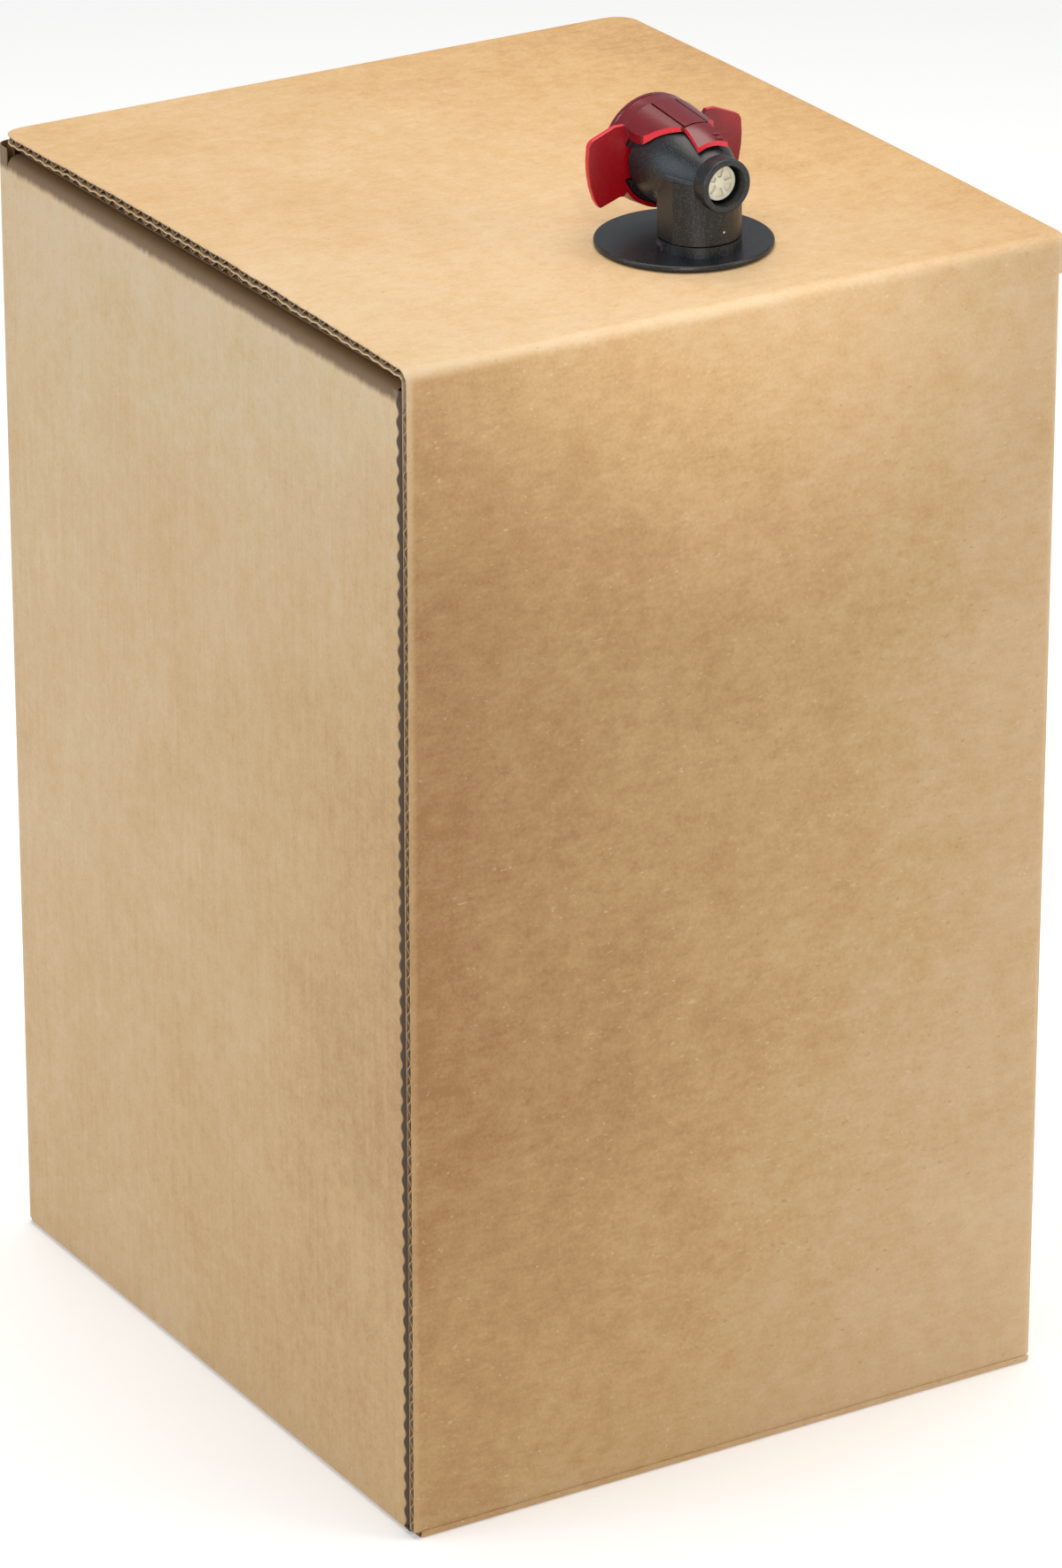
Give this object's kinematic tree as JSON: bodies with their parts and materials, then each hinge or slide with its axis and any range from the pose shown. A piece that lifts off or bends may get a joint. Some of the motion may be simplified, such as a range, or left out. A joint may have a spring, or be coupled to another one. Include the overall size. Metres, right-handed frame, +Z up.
{
  "type": "bag in box carton",
  "caption": "Closed corrugated carton with a filled film bag inside and a press tap with two finger wings standing on its lid.",
  "frame": {"origin": "middle of the carton's base, on the surface it stands on", "axes": "+Z up; -Y out of the carton's front panel, the way the tap's nozzle points; +X to the right seen from the front"},
  "size_m": [0.232, 0.258, 0.4273],
  "materials": {
    "kraft_board": "matte brown kraft liner with fine fibres",
    "bag_film": "glossy silvery film",
    "black_plastic": "satin moulded plastic with a fine grain",
    "red_plastic": "semi-gloss deep red moulding",
    "black_rubber": "matte elastomer",
    "cream_plastic": "natural cream moulding"
  },
  "bodies": {
    "carton": {"carton": "kraft_board", "inner_bag": "bag_film", "spout_gland": "black_plastic"},
    "tap": {"tap_body": "black_plastic", "wing_grip": "red_plastic"},
    "valve": {"valve_plunger": "cream_plastic", "valve_seal": "black_rubber", "press_button": "black_rubber"}
  },
  "joints": [
    {"name": "tap_swivel", "type": "hinge", "parent": "carton", "child": "tap", "pos_m": [0.0123, -0.0842, 0.3905], "axis": [0, 0, 1], "continuous": true},
    {"name": "valve_press", "type": "slide", "parent": "tap", "child": "valve", "axis": [0, -1, 0], "range_m": [0, 0.003], "stiffness_N_per_m": 4000, "springref_m": -0.001, "deforming": ["press_button"]}
  ]
}
